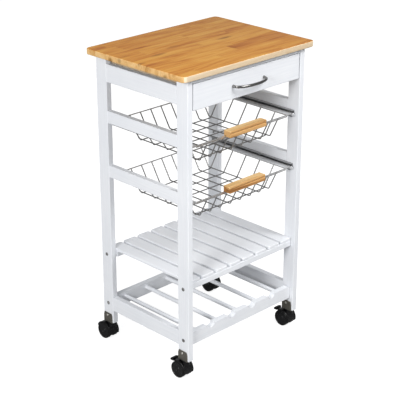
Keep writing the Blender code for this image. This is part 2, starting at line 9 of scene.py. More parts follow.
import bmesh
import bpy
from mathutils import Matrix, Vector


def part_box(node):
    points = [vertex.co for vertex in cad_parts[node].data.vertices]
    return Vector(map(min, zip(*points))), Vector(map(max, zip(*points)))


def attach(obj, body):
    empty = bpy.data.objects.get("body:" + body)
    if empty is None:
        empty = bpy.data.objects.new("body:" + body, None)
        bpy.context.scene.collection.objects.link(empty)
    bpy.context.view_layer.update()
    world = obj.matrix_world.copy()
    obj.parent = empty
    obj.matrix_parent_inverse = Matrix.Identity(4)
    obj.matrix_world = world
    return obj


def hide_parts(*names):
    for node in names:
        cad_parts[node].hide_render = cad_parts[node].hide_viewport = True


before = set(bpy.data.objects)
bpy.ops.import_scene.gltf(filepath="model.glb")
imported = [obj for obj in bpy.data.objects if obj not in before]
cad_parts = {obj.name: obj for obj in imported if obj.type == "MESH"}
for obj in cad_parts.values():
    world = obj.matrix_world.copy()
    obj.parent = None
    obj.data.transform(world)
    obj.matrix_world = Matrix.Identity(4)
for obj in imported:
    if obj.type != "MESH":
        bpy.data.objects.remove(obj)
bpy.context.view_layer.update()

# ---- Dimensions that only the dressing needs ------------------------------------------------

# Tabletop
TOP_EDGE = 0.0022             # rounding of the edges
TOP_CORNER = 0.013            # radius of the corners
TOP_STRIP = 0.0411            # width of the strips that the board is glued from
STRIP_BLOCK = 0.30            # length of the blocks that are finger-jointed into a strip
FINGER = 0.0035               # half the period of a finger joint's zigzag

# Baskets: X from the middle of the cart, Y from the middle of the tabletop
RIMS = {"upper": 0.6525, "lower": 0.4995}     # heights of the rims
BASKET_DROP = 0.0565          # from the rim down to the floor
BASKET_RIM_X = 0.1700
BASKET_RIM_FRONT = -0.1575
BASKET_RIM_BACK = 0.1380
BASKET_FLOOR_X = 0.1320
BASKET_FLOOR_FRONT = -0.1295
BASKET_FLOOR_BACK = 0.1030
FLOOR_WIRE = 0.0017           # radii of the wires
RIM_WIRE = 0.0017
BEND = 0.006                  # radius of the wires' bends
LENGTHWISE_WIRES = 8
CROSSWISE_WIRES = 5
CROSSWISE_FRONT = -0.1120     # place of the crosswise wire nearest the front
CROSSWISE_PITCH = 0.0520      # from one crosswise wire to the next
CROSSWISE_END_DROP = 0.0012   # from the rim down to the ends of the crosswise wires
SIDE_WIRE_DROP = 0.0010       # from the rim down to the wires along its sides
SECOND_WIRE_DROP = 0.0052     # from the front rim down and back to a second wire beneath it
SECOND_WIRE_BACK = 0.0024
FLANGE_SHEET = 0.0014         # folded strips that slide in the channels
FLANGE_INNER_X = 0.1692
FLANGE_OUTER_X = 0.1915
FLANGE_LIP = 0.0088           # from the rim down to the edge of the fold
FLANGE_FOLD = 0.0012          # width of the fold
FLANGE_OVERHANG = 0.0008      # past the front and back rim wires
CURL = 0.0042                 # the eye of thin wire at the front end of each strip
CURL_DROP = 0.0038
CURL_WIRE = 0.0011
GROOVE_FRONT = -0.1600        # the groove under each grip, which takes the front rim wire
GROOVE_BACK = -0.1543
GROOVE_TOP = 0.0022           # above the rim
GRIP_CHAMFER = 0.0016
GRIP_SCREW_INSET = 0.022      # from the ends of a grip

# Drawer handle
BOW_FOOT = 0.0036             # radius of the bow's feet
BOW_STUB = 0.003              # length of the feet before the bow starts
BOW_CLEARANCE = 0.0030        # from the middle of the bow to its outermost surface

# Casters; angles are degrees about the axle, from straight back over the top
TRAIL = 0.0150                # from a caster's swivel axis back to its axle
AXLE_HEIGHT = 0.0237
HOOD_OUTER = 0.0267           # radii about the axle
HOOD_INNER = 0.0247
HOOD_LIP = 0.0008             # height of the lips along the hood's sides
HOOD_HALF_WIDTH = 0.0172
HOOD_FRONT_ANGLE = 198.0
HOOD_BACK_ANGLE = {"front": 58.0, "back": 20.0}
WEB_OUTER = 0.0256            # the web between the wheels
WEB_INNER = 0.0150
WEB_HALF_WIDTH = 0.0055
WEB_SETBACK = 2               # degrees from the hood's ends to the web's
NECK_BASE = 0.0160            # above the axle
STEM_RADIUS = 0.0039
BRACKET_GAP = 0.0003          # between the neck and the saddle plate
PLATE_SCREW_BACK = 0.0045     # behind the swivel axis
PLATE_SCREW_HEIGHT = 0.0745

# Frame and its fasteners
SLATS = 8
DOWELS = 5
DOWEL_CHAMFER = 0.0006
BOLT_HEIGHTS = (0.2655, 0.1145)
RUNNER_SHEET = 0.0012
RUNNER_SCREW_INSET = 0.020    # from the ends of a channel
RUNNER_SCREW_DROP = 0.0018    # below the basket's rim
STOP_PIN_BACK = 0.012         # behind the back post's front edge
STOP_PIN_RISE = 0.0235        # above the basket's rim

SIDES = (("left", -1), ("right", 1))
ENDS = ("front", "back")

top_low, top_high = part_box("tabletop")
MIDDLE_Y = (top_low.y + top_high.y) / 2
RIM_FRONT_Y = MIDDLE_Y + BASKET_RIM_FRONT
RIM_BACK_Y = MIDDLE_Y + BASKET_RIM_BACK


# ---- Node helpers ---------------------------------------------------------------------------

def new_material(name):
    material = bpy.data.materials.new(name)
    material.use_nodes = True
    tree = material.node_tree
    return material, tree, tree.nodes["Principled BSDF"]


def add(tree, kind, inputs=None, **settings):
    """A node with its inputs set to values, or linked from other nodes' sockets."""
    node = tree.nodes.new(kind)
    for key, value in settings.items():
        setattr(node, key, value)
    for key, value in (inputs or {}).items():
        connect(tree, value, node.inputs[key])
    return node


def connect(tree, value, socket):
    if isinstance(value, bpy.types.NodeSocket):
        tree.links.new(value, socket)
    else:
        socket.default_value = value


def spot_of(tree):
    return add(tree, "ShaderNodeTexCoord").outputs["Object"]


def stretched(tree, vector, scale):
    return add(tree, "ShaderNodeMapping", {"Vector": vector, "Scale": scale}).outputs[0]


def noise(tree, vector, scale, detail=3.0, roughness=0.5, distortion=0.0):
    inputs = {"Vector": vector, "Scale": scale, "Detail": detail, "Roughness": roughness,
              "Distortion": distortion}
    return add(tree, "ShaderNodeTexNoise", inputs).outputs[0]


def white_noise(tree, dimensions, inputs):
    """One random number for each value of the input."""
    return add(tree, "ShaderNodeTexWhiteNoise", inputs, noise_dimensions=dimensions).outputs[0]


def maths(tree, operation, first, second=0.0):
    node = add(tree, "ShaderNodeMath", operation=operation)
    connect(tree, first, node.inputs[0])
    connect(tree, second, node.inputs[1])
    return node.outputs[0]


def spread(tree, value, low, high, to_low=0.0, to_high=1.0):
    """Maps low..high onto to_low..to_high, clamped."""
    return add(tree, "ShaderNodeMapRange", {"Value": value, "From Min": low, "From Max": high,
                                            "To Min": to_low, "To Max": to_high}).outputs[0]


def ramp(tree, value, stops):
    node = add(tree, "ShaderNodeValToRGB", {"Fac": value})
    elements = node.color_ramp.elements
    while len(elements) < len(stops):
        elements.new(0.5)
    for element, (place, colour) in zip(elements, stops):
        element.position = place
        element.color = (*colour, 1.0)
    return node.outputs["Color"]


def blend(tree, factor, first, second):
    node = add(tree, "ShaderNodeMix", data_type="RGBA")
    connect(tree, factor, node.inputs[0])
    for value, socket in ((first, node.inputs[6]), (second, node.inputs[7])):
        connect(tree, (*value, 1.0) if isinstance(value, tuple) else value, socket)
    return node.outputs[2]


def bump(tree, shader, height, strength, distance):
    node = add(tree, "ShaderNodeBump", {"Height": height, "Strength": strength,
                                        "Distance": distance})
    tree.links.new(node.outputs[0], shader.inputs["Normal"])


# ---- Paint ----------------------------------------------------------------------------------

PAINT_DIM = (0.780, 0.798, 0.830)
PAINT_BRIGHT = (0.832, 0.845, 0.868)
PAINT_GRAIN = (0.700, 0.722, 0.765)
PAINT_WORN = (0.62, 0.60, 0.57)


def painted(name, stretch):
    """Sprayed and brushed white paint over timber; the grain shows faintly along one way."""
    material, tree, shader = new_material(name)
    spot = spot_of(tree)
    grain = noise(tree, stretched(tree, spot, stretch), 1.0, 5.0, 0.6, 0.4)
    clouds = noise(tree, spot, 7.0, 3.0)
    fine = noise(tree, spot, 900.0, 2.0)
    base = ramp(tree, clouds, [(0.30, PAINT_DIM), (0.70, PAINT_BRIGHT)])
    lines = spread(tree, grain, 0.36, 0.62)
    tinted = blend(tree, maths(tree, "MULTIPLY", lines, 0.34), base, PAINT_GRAIN)
    scuffs = spread(tree, noise(tree, spot, 55.0, 4.0, 0.7), 0.70, 0.78)
    worn = blend(tree, maths(tree, "MULTIPLY", scuffs, 0.30), tinted, PAINT_WORN)
    tree.links.new(worn, shader.inputs["Base Color"])
    rough = maths(tree, "ADD", spread(tree, grain, 0.3, 0.7, 0.36, 0.50),
                  maths(tree, "MULTIPLY", scuffs, 0.15))
    tree.links.new(rough, shader.inputs["Roughness"])
    shader.inputs["Specular IOR Level"].default_value = 0.45
    height = maths(tree, "ADD", grain, maths(tree, "MULTIPLY", fine, 0.25))
    bump(tree, shader, height, 0.25, 0.0006)
    return material


PAINT_Z = painted("paint_upright", (260.0, 260.0, 7.0))
PAINT_Y = painted("paint_lengthwise", (260.0, 7.0, 260.0))
PAINT_X = painted("paint_crosswise", (7.0, 260.0, 260.0))


# ---- Timber ---------------------------------------------------------------------------------

def whole_number_lines(tree, value, half_width):
    """1 where the value is a whole number, fading to 0 within half_width of it."""
    off = spread(tree, maths(tree, "PINGPONG", value, 0.5), 0.0, half_width)
    return maths(tree, "SUBTRACT", 1.0, off)


def glued_up(tree, lengthwise, sideways):
    """A random number for each block of the board, and the lines of its glued joints."""
    strips = maths(tree, "DIVIDE", maths(tree, "SUBTRACT", sideways, top_low.y), TOP_STRIP)
    row = maths(tree, "FLOOR", strips)
    stagger = white_noise(tree, "1D", {"W": row})
    fingers = maths(tree, "MULTIPLY", maths(tree, "PINGPONG", sideways, FINGER), 1.6)
    shifted = maths(tree, "ADD", maths(tree, "ADD", lengthwise, fingers),
                    maths(tree, "MULTIPLY", stagger, STRIP_BLOCK))
    blocks = maths(tree, "DIVIDE", shifted, STRIP_BLOCK)
    column = maths(tree, "FLOOR", blocks)
    cell = add(tree, "ShaderNodeCombineXYZ", {"X": row, "Y": column}).outputs[0]
    seed = white_noise(tree, "3D", {"Vector": cell})
    seams = whole_number_lines(tree, strips, 0.022)
    joints = whole_number_lines(tree, blocks, 0.003)
    return seed, maths(tree, "MAXIMUM", seams, joints)


def knotted(tree, colour, spot, tone):
    """The colour with a dark knot in one cell out of five, drawn out along the grain."""
    cells = add(tree, "ShaderNodeTexVoronoi",
                {"Vector": stretched(tree, spot, (9.0, 34.0, 34.0)), "Scale": 1.0,
                 "Randomness": 1.0})
    heart = spread(tree, cells.outputs["Distance"], 0.10, 0.34, 1.0, 0.0)
    lot = add(tree, "ShaderNodeSeparateXYZ", {"Vector": cells.outputs["Color"]}).outputs[0]
    chosen = maths(tree, "GREATER_THAN", lot, 0.80)
    share = maths(tree, "MULTIPLY", maths(tree, "MULTIPLY", heart, chosen), 0.75)
    return blend(tree, share, colour, tuple(0.42 * c for c in tone))


def timber(name, tones, along, across, glued=False, roughness=0.42, knots=True):
    """Lacquered pine in four tones, pale to dark, as one piece or as a glued-up board.

    The grain runs along one axis of 0, 1 and 2, and a board's strips lie side by side across
    another. In a glued-up board each strip is a row of staggered finger-jointed blocks.
    """
    material, tree, shader = new_material(name)
    split = add(tree, "ShaderNodeSeparateXYZ", {"Vector": spot_of(tree)})
    lengthwise, sideways = split.outputs[along], split.outputs[across]
    upright = split.outputs[3 - along - across]
    if glued:
        seed, lines = glued_up(tree, lengthwise, sideways)
    else:
        seed = white_noise(tree, "1D", {"W": 3.0})
    moved = add(tree, "ShaderNodeCombineXYZ",
                {"X": maths(tree, "ADD", lengthwise, maths(tree, "MULTIPLY", seed, 9.0)),
                 "Y": maths(tree, "ADD", sideways, maths(tree, "MULTIPLY", seed, 5.0)),
                 "Z": upright}).outputs[0]
    figure = noise(tree, stretched(tree, moved, (3.5, 26.0, 26.0)), 1.0, 4.0, 0.55, 1.2)
    fibres = noise(tree, stretched(tree, moved, (14.0, 330.0, 330.0)), 1.0, 4.0, 0.65)
    tone = maths(tree, "ADD", maths(tree, "MULTIPLY", seed, 0.18),
                 maths(tree, "ADD", maths(tree, "MULTIPLY", figure, 1.15),
                       maths(tree, "MULTIPLY", fibres, 0.42)))
    colour = ramp(tree, spread(tree, tone, 0.62, 1.19), list(zip((0.05, 0.42, 0.72, 1.0), tones)))
    if knots:
        colour = knotted(tree, colour, moved, tones[2])
    if glued:
        colour = blend(tree, maths(tree, "MULTIPLY", lines, 0.40), colour,
                       tuple(0.50 * c for c in tones[2]))
    tree.links.new(colour, shader.inputs["Base Color"])
    tree.links.new(spread(tree, fibres, 0.3, 0.7, roughness - 0.06, roughness + 0.10),
                   shader.inputs["Roughness"])
    shader.inputs["Specular IOR Level"].default_value = 0.30
    bump(tree, shader, fibres, 0.20, 0.0004)
    return material


HONEY = ((0.60, 0.300, 0.055), (0.53, 0.225, 0.034), (0.41, 0.140, 0.018), (0.22, 0.060, 0.007))
# Painted light: lighter tones for the tabletop's side and back edges.
SIDE_EDGE_PAINTED_LIGHT = ((0.78, 0.52, 0.24), (0.71, 0.43, 0.17), (0.57, 0.30, 0.09), (0.34, 0.14, 0.03))
# Painted shade: grey-brown tones for the tabletop's underside.
SHADED = ((0.27, 0.22, 0.18), (0.23, 0.185, 0.15), (0.18, 0.14, 0.11), (0.13, 0.10, 0.08))
# Painted light: pale tones for the tabletop's front edge, lit more than its top.
FRONT_EDGE_PAINTED_LIGHT = ((0.90, 0.76, 0.56), (0.86, 0.69, 0.47), (0.78, 0.57, 0.35), (0.62, 0.40, 0.20))
GRIP_PALE = ((0.84, 0.60, 0.31), (0.78, 0.53, 0.25), (0.65, 0.40, 0.16), (0.44, 0.23, 0.075))
# Darker grip tones: painted shade for its front and underside, and its darker end grain.
GRIP_SHADE_AND_END_GRAIN = ((0.64, 0.38, 0.155), (0.56, 0.31, 0.115), (0.42, 0.20, 0.062), (0.24, 0.095, 0.024))
# Raw pine, darkened as painted shade for the drawer box inside the cart.
RAW_WITH_PAINTED_SHADE = ((0.54, 0.44, 0.32), (0.50, 0.40, 0.28), (0.44, 0.34, 0.23), (0.37, 0.27, 0.17))

TOP_WOOD = timber("top_board_wood", HONEY, 0, 1, glued=True)
TOP_SIDE_PAINTED_LIGHT_WOOD = timber("top_side_edge_painted_light", SIDE_EDGE_PAINTED_LIGHT, 0, 1, glued=True)
UNDER_PAINTED_SHADE_WOOD = timber("top_underside_painted_shade", SHADED, 0, 1, glued=True, roughness=0.60)
TOP_EDGE_PAINTED_LIGHT_WOOD = timber("top_front_edge_painted_light", FRONT_EDGE_PAINTED_LIGHT, 0, 1, glued=True, knots=False)
GRIP_WOOD = timber("grip_bar_wood", GRIP_PALE, 0, 1, knots=False, roughness=0.38)
GRIP_SHADE_AND_END_GRAIN_WOOD = timber("grip_painted_shade_and_end_grain", GRIP_SHADE_AND_END_GRAIN, 0, 2, knots=False, roughness=0.40)
RAW_PAINTED_SHADE_WOOD_Y = timber("drawer_side_wood_painted_shade", RAW_WITH_PAINTED_SHADE, 1, 0, knots=False, roughness=0.62)


# ---- Metal and nylon ------------------------------------------------------------------------

def metal(name, colour, patina, roughness, streaks, metallic=1.0):
    """Plated steel with drawing lines, and dull patches in the colour of its patina."""
    material, tree, shader = new_material(name)
    spot = spot_of(tree)
    drawn = noise(tree, stretched(tree, spot, streaks), 1.0, 4.0, 0.6)
    dull = noise(tree, spot, 60.0, 4.0, 0.6)
    tinted = blend(tree, spread(tree, dull, 0.45, 0.75, 0.0, 0.6), colour, patina)
    tree.links.new(tinted, shader.inputs["Base Color"])
    rough = maths(tree, "ADD", spread(tree, drawn, 0.3, 0.7, roughness - 0.05, roughness + 0.07),
                  spread(tree, dull, 0.55, 0.80, 0.0, 0.15))
    tree.links.new(rough, shader.inputs["Roughness"])
    shader.inputs["Metallic"].default_value = metallic
    bump(tree, shader, drawn, 0.08, 0.0002)
    return material


def moulded(name, colour, roughness):
    """Injection-moulded nylon with a fine grained skin and a few dusty scuffs."""
    material, tree, shader = new_material(name)
    spot = spot_of(tree)
    skin = noise(tree, spot, 1400.0, 2.0)
    dust = spread(tree, noise(tree, spot, 70.0, 5.0, 0.7), 0.58, 0.80)
    tinted = blend(tree, maths(tree, "MULTIPLY", dust, 0.06), colour, (0.06, 0.06, 0.06))
    tree.links.new(tinted, shader.inputs["Base Color"])
    tree.links.new(maths(tree, "ADD", spread(tree, skin, 0.3, 0.7, roughness, roughness + 0.08),
                         maths(tree, "MULTIPLY", dust, 0.20)), shader.inputs["Roughness"])
    shader.inputs["Specular IOR Level"].default_value = 0.32
    bump(tree, shader, skin, 0.12, 0.0002)
    return material


CHROME_WIRE = metal("chrome_wire", (0.36, 0.355, 0.35), (0.27, 0.26, 0.25), 0.36,
                    (90.0, 90.0, 90.0))
CHROME_RIM = metal("chrome_rim", (0.80, 0.79, 0.78), (0.60, 0.58, 0.56), 0.20,
                   (60.0, 60.0, 60.0))
BRIGHT_ZINC = metal("bright_zinc", (0.76, 0.77, 0.79), (0.66, 0.67, 0.69), 0.42,
                    (400.0, 10.0, 400.0), metallic=0.45)
CHROME_BAR = metal("chrome_bar", (0.22, 0.215, 0.21), (0.14, 0.135, 0.13), 0.14,
                   (30.0, 400.0, 400.0))
ZINC = metal("zinc_sheet", (0.42, 0.42, 0.43), (0.30, 0.29, 0.28), 0.34,
             (400.0, 12.0, 400.0))
BRONZE_STEEL = metal("saddle_plate", (0.25, 0.235, 0.205), (0.17, 0.155, 0.13), 0.36,
                     (200.0, 200.0, 14.0))
BOLT_STEEL = metal("bolt_steel", (0.33, 0.32, 0.31), (0.22, 0.21, 0.20), 0.33,
                   (300.0, 300.0, 300.0))
SCREW_STEEL = metal("screw_steel", (0.62, 0.60, 0.55), (0.45, 0.42, 0.36), 0.30,
                    (300.0, 300.0, 300.0))
# Painted shade: a near-black sheet standing for the shade in the bolts' recesses.
RECESS_PAINTED_SHADE = moulded("recess_shade", (0.020, 0.019, 0.018), 0.60)
NYLON = moulded("caster_nylon", (0.0026, 0.0026, 0.0030), 0.22)
TYRE = moulded("caster_tread", (0.0045, 0.0045, 0.0048), 0.36)


# ---- Shape helpers --------------------------------------------------------------------------

def new_piece(name, shape, materials, body, stands_for=(), crease=40.0):
    """Makes the bmesh a piece that rides on a body; edges sharper than crease stay sharp."""
    bmesh.ops.recalc_face_normals(shape, faces=shape.faces)
    mesh = bpy.data.meshes.new(name)
    shape.to_mesh(mesh)
    shape.free()
    for material in materials if isinstance(materials, list) else [materials]:
        mesh.materials.append(material)
    mesh.shade_smooth()
    mesh.set_sharp_from_angle(angle=math.radians(crease))
    piece = bpy.data.objects.new(name, mesh)
    bpy.context.scene.collection.objects.link(piece)
    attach(piece, body)
    if stands_for:
        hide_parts(*stands_for)


def arc(first, last, steps):
    """Angles in radians, evenly from first to last, which are in degrees."""
    return [math.radians(first + (last - first) * i / steps) for i in range(steps + 1)]


def loft(shape, rings):
    """Skins a row of equal rings and closes its two ends; returns the new faces."""
    made = [[shape.verts.new(p) for p in ring] for ring in rings]
    faces = []
    count = len(made[0])
    for near, far in zip(made, made[1:]):
        for j in range(count):
            k = (j + 1) % count
            faces.append(shape.faces.new((near[j], near[k], far[k], far[j])))
    faces.append(shape.faces.new(list(reversed(made[0]))))
    faces.append(shape.faces.new(made[-1]))
    return faces


def wire(shape, path, radius, sides=8, tall=1.0):
    """A wire along a path, of one radius or a list of them; tall stretches its section upright."""
    points = [Vector(p) for p in path]
    last = len(points) - 1
    side = None
    rings = []
    for i, point in enumerate(points):
        along = (points[min(i + 1, last)] - points[max(i - 1, 0)]).normalized()
        if side is None:
            helper = Vector((0, 0, 1)) if abs(along.z) < 0.9 else Vector((1, 0, 0))
            side = along.cross(helper).normalized()
        side = (side - along * side.dot(along)).normalized()
        up = side.cross(along)
        size = radius[i] if isinstance(radius, list) else radius
        rings.append([point + (side * math.cos(a) + up * math.sin(a) * tall) * size
                      for a in (math.tau * j / sides for j in range(sides))])
    loft(shape, rings)


def fillet(points, radius):
    """The points with every inner corner turned into a small arc."""
    points = [Vector(p) for p in points]
    path = [points[0]]
    for before, corner, after in zip(points, points[1:], points[2:]):
        back, ahead = before - corner, after - corner
        half = back.normalized().angle(ahead.normalized()) / 2
        reach = min(radius / math.tan(half), back.length * 0.45, ahead.length * 0.45)
        start, stop = corner + back.normalized() * reach, corner + ahead.normalized() * reach
        for t in (0.0, 0.25, 0.5, 0.75, 1.0):
            path.append(start.lerp(corner, t).lerp(corner.lerp(stop, t), t))
    return path + [points[-1]]


def lathe(shape, centre, axis, profile, segments=32, recess=None):
    """Turns (along, radius) pairs about an axis; returns the new faces.

    A pair with a third item is a ring of the recess: its radius is a share of the pair's, which
    the function recess gives for each angle.
    """
    axis = Vector(axis).normalized()
    helper = Vector((0, 0, 1)) if abs(axis.z) < 0.9 else Vector((0, 1, 0))
    side = axis.cross(helper).normalized()
    up = side.cross(axis)
    rings = []
    for item in profile:
        along, radius = item[0], item[1]
        ring = []
        for j in range(segments):
            a = math.tau * j / segments
            r = radius * recess(a) if len(item) > 2 else radius
            ring.append(Vector(centre) + axis * along + (side * math.cos(a) + up * math.sin(a)) * r)
        rings.append(ring)
    return loft(shape, rings)


def hexagon(angle):
    """The outline of a hexagon socket, as a share of its corner radius."""
    return math.cos(math.pi / 6) / math.cos((angle % (math.pi / 3)) - math.pi / 6)


def cross(angle):
    """The outline of a cross recess, as a share of its longest radius."""
    return 0.34 + 0.66 * abs(math.cos(2 * angle)) ** 3


# ---- Tabletop -------------------------------------------------------------------------------

def top_ring(inset, z):
    """A ring round the board's outline and its rounded corners, drawn in by inset."""
    left, right = top_low.x + TOP_CORNER, top_high.x - TOP_CORNER
    front, back = top_low.y + TOP_CORNER, top_high.y - TOP_CORNER
    radius = TOP_CORNER - inset
    ring = []
    corners = ((right, back, 0), (left, back, 90), (left, front, 180), (right, front, 270))
    for x, y, start in corners:
        for a in arc(start, start + 90, 8):
            ring.append(Vector((x + radius * math.cos(a), y + radius * math.sin(a), z)))
    return ring


def make_tabletop():
    """The board with rounded edges; painted light on its edges, painted shade on its underside."""
    shape = bmesh.new()
    lower = [top_ring(TOP_EDGE * (1 - math.sin(a)), top_low.z + TOP_EDGE * (1 - math.cos(a)))
             for a in arc(0, 90, 4)]
    upper = [top_ring(TOP_EDGE * (1 - math.sin(a)), top_high.z - TOP_EDGE * (1 - math.cos(a)))
             for a in arc(90, 0, 4)]
    faces = loft(shape, lower + upper)
    bmesh.ops.recalc_face_normals(shape, faces=shape.faces)
    for face in faces:
        face.normal_update()
        # Downward faces take the painted shade.
        if face.normal.z < -0.6:
            face.material_index = 2
        # Front edge faces take painted light.
        elif face.normal.y < -0.75 and face.normal.z < 0.6:
            face.material_index = 1
        # Side and back edge faces take painted light.
        elif abs(face.normal.z) < 0.6:
            face.material_index = 3
    new_piece("top_board", shape, [TOP_WOOD, TOP_EDGE_PAINTED_LIGHT_WOOD, UNDER_PAINTED_SHADE_WOOD, TOP_SIDE_PAINTED_LIGHT_WOOD], "frame",
              ["tabletop"], 60)


# ---- Baskets --------------------------------------------------------------------------------

def make_basket_cage(level, rim):
    cage = bmesh.new()
    floor_z = rim - BASKET_DROP
    floor_front, floor_back = MIDDLE_Y + BASKET_FLOOR_FRONT, MIDDLE_Y + BASKET_FLOOR_BACK
    for i in range(LENGTHWISE_WIRES):
        x = BASKET_FLOOR_X * (2 * i / (LENGTHWISE_WIRES - 1) - 1)
        path = [(x, RIM_FRONT_Y, rim), (x, floor_front, floor_z), (x, floor_back, floor_z),
                (x, RIM_BACK_Y, rim)]
        wire(cage, fillet(path, BEND), FLOOR_WIRE)
    z, end_z = floor_z - 2 * FLOOR_WIRE, rim - CROSSWISE_END_DROP
    for i in range(CROSSWISE_WIRES):
        y = MIDDLE_Y + CROSSWISE_FRONT + CROSSWISE_PITCH * i
        path = [(-BASKET_RIM_X, y, end_z), (-BASKET_FLOOR_X, y, z), (BASKET_FLOOR_X, y, z),
                (BASKET_RIM_X, y, end_z)]
        wire(cage, fillet(path, BEND), FLOOR_WIRE)
    new_piece(f"{level}_basket_cage", cage, CHROME_WIRE, f"basket_{level}",
              [f"{level}_basket"])


def make_basket_rim(level, rim):
    edge = bmesh.new()
    reach = FLANGE_OUTER_X - FLANGE_FOLD
    for y in (RIM_FRONT_Y, RIM_BACK_Y):
        wire(edge, [(-reach, y, rim), (reach, y, rim)], RIM_WIRE, 10)
    for x in (-BASKET_RIM_X, BASKET_RIM_X):
        z = rim - SIDE_WIRE_DROP
        wire(edge, [(x, RIM_FRONT_Y, z), (x, RIM_BACK_Y, z)], FLOOR_WIRE)
    y, z = RIM_FRONT_Y + SECOND_WIRE_BACK, rim - SECOND_WIRE_DROP
    wire(edge, [(-BASKET_RIM_X, y, z), (BASKET_RIM_X, y, z)], FLOOR_WIRE)
    new_piece(f"{level}_basket_rim", edge, CHROME_RIM, f"basket_{level}")


def make_basket_slides(level, rim):
    """The folded strip along each side, with an eye of thin wire at its front end."""
    bars = bmesh.new()
    half_sheet, outer = FLANGE_SHEET / 2, FLANGE_OUTER_X
    reach = outer - FLANGE_FOLD
    fold = [(FLANGE_INNER_X, half_sheet), (reach, half_sheet), (outer - 0.0004, 0.0003),
            (outer, -0.0006), (outer, -FLANGE_LIP), (outer - FLANGE_SHEET, -FLANGE_LIP),
            (outer - FLANGE_SHEET, -half_sheet), (FLANGE_INNER_X, -half_sheet)]
    for sign in (-1, 1):
        loft(bars, [[Vector((sign * across, y, rim + up)) for across, up in fold]
                    for y in (RIM_FRONT_Y - FLANGE_OVERHANG, RIM_BACK_Y + FLANGE_OVERHANG)])
        curl = [(sign * reach, RIM_FRONT_Y - 0.0004 + CURL * math.cos(a),
                 rim - CURL_DROP + CURL * math.sin(a)) for a in arc(20, 320, 14)]
        wire(bars, curl, CURL_WIRE)
    new_piece(f"{level}_basket_slides", bars, BRIGHT_ZINC, f"basket_{level}")


def grip_section(low, high, rim, inset):
    """Chamfered bar with a finger groove in its front, and the rim wire's groove underneath."""
    y0, y1, z0, z1 = low.y + inset, high.y - inset, low.z + inset, high.z - inset
    c = GRIP_CHAMFER
    front, back, top = MIDDLE_Y + GROOVE_FRONT, MIDDLE_Y + GROOVE_BACK, rim + GROOVE_TOP
    return [(y0 + 0.0012, z0), (y0 + 0.0004, z0 + 0.0010), (y0 + 0.0004, z0 + 0.0082),
            (y0 + 0.0024, z0 + 0.0098), (y0, z1 - 0.0038), (y0, z1 - c), (y0 + c, z1),
            (y1 - c, z1), (y1, z1 - c), (y1, z0 + c), (y1 - c, z0),
            (back, z0), (back, top), (front, top), (front, z0)]


def make_basket_grip(level, rim):
    """The wooden grip and its screws; painted shade on its front and underside, darker end grain at
    its ends.
    """
    low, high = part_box(f"{level}_basket_handle")
    half = (high.x - low.x) / 2
    grip = bmesh.new()
    stations = ((-half, GRIP_CHAMFER), (-half + GRIP_CHAMFER, 0.0), (half - GRIP_CHAMFER, 0.0),
                (half, GRIP_CHAMFER))
    faces = loft(grip, [[Vector((x, y, z)) for y, z in grip_section(low, high, rim, inset)]
                        for x, inset in stations])
    bmesh.ops.recalc_face_normals(grip, faces=faces)
    for face in faces:
        face.normal_update()
        # Front and underside faces take painted shade; the ends take their darker end grain.
        if face.normal.z < -0.25 or face.normal.y < -0.5 or abs(face.normal.x) > 0.9:
            face.material_index = 1
    new_piece(f"{level}_basket_grip", grip, [GRIP_WOOD, GRIP_SHADE_AND_END_GRAIN_WOOD], f"basket_{level}",
              [f"{level}_basket_handle"], 20)
    screws = bmesh.new()
    y = (GROOVE_FRONT + GROOVE_BACK) / 2 + MIDDLE_Y
    for sign in (-1, 1):
        lathe(screws, (sign * (half - GRIP_SCREW_INSET), y, low.z + 0.0004), (0, 0, -1),
              [(-0.0004, 0.0034), (0.0004, 0.0034), (0.0010, 0.0026), (0.0010, 0.0020, 1),
               (0.0002, 0.0020, 1)], 20, cross)
    new_piece(f"{level}_grip_screws", screws, SCREW_STEEL, f"basket_{level}")


def make_baskets():
    for level, rim in RIMS.items():
        make_basket_cage(level, rim)
        make_basket_rim(level, rim)
        make_basket_slides(level, rim)
        make_basket_grip(level, rim)


# ---- Drawer handle --------------------------------------------------------------------------

def make_drawer_handle():
    """A bow of chromed bar, thickest at its feet, and taller than it is deep."""
    low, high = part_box("drawer_handle")
    face_y = high.y
    half = (high.x - low.x) / 2 - BOW_FOOT
    reach = high.y - low.y - BOW_CLEARANCE
    z = (low.z + high.z) / 2
    path, sizes = [(-half, face_y, z), (-half, face_y - BOW_STUB, z)], [BOW_FOOT, 0.0034]
    steps = 28
    for i in range(1, steps):
        turn = math.pi * i / steps
        bow = BOW_STUB + (reach - BOW_STUB) * math.sin(turn) ** 0.8
        path.append((-half * math.cos(turn), face_y - bow, z))
        sizes.append(0.0026 + 0.0005 * math.sin(turn))
    path += [(half, face_y - BOW_STUB, z), (half, face_y, z)]
    sizes += [0.0034, BOW_FOOT]
    shape = bmesh.new()
    wire(shape, path, sizes, 14, tall=1.25)
    new_piece("drawer_bow_handle", shape, CHROME_BAR, "drawer", ["drawer_handle"])


# ---- Rack dowels ----------------------------------------------------------------------------

def make_dowels():
    for i in range(DOWELS):
        node = f"rack_dowel_{i + 1}"
        low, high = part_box(node)
        shape = bmesh.new()
        radius, length = (high.z - low.z) / 2, high.y - low.y
        end_radius = radius - DOWEL_CHAMFER
        lathe(shape, ((low.x + high.x) / 2, low.y, (low.z + high.z) / 2), (0, 1, 0),
              [(0.0, end_radius), (DOWEL_CHAMFER, radius), (length / 2, radius),
               (length - DOWEL_CHAMFER, radius), (length, end_radius)], 28)
        new_piece(f"dowel_round_{i + 1}", shape, PAINT_Y, "frame", [node])


# ---- Casters --------------------------------------------------------------------------------

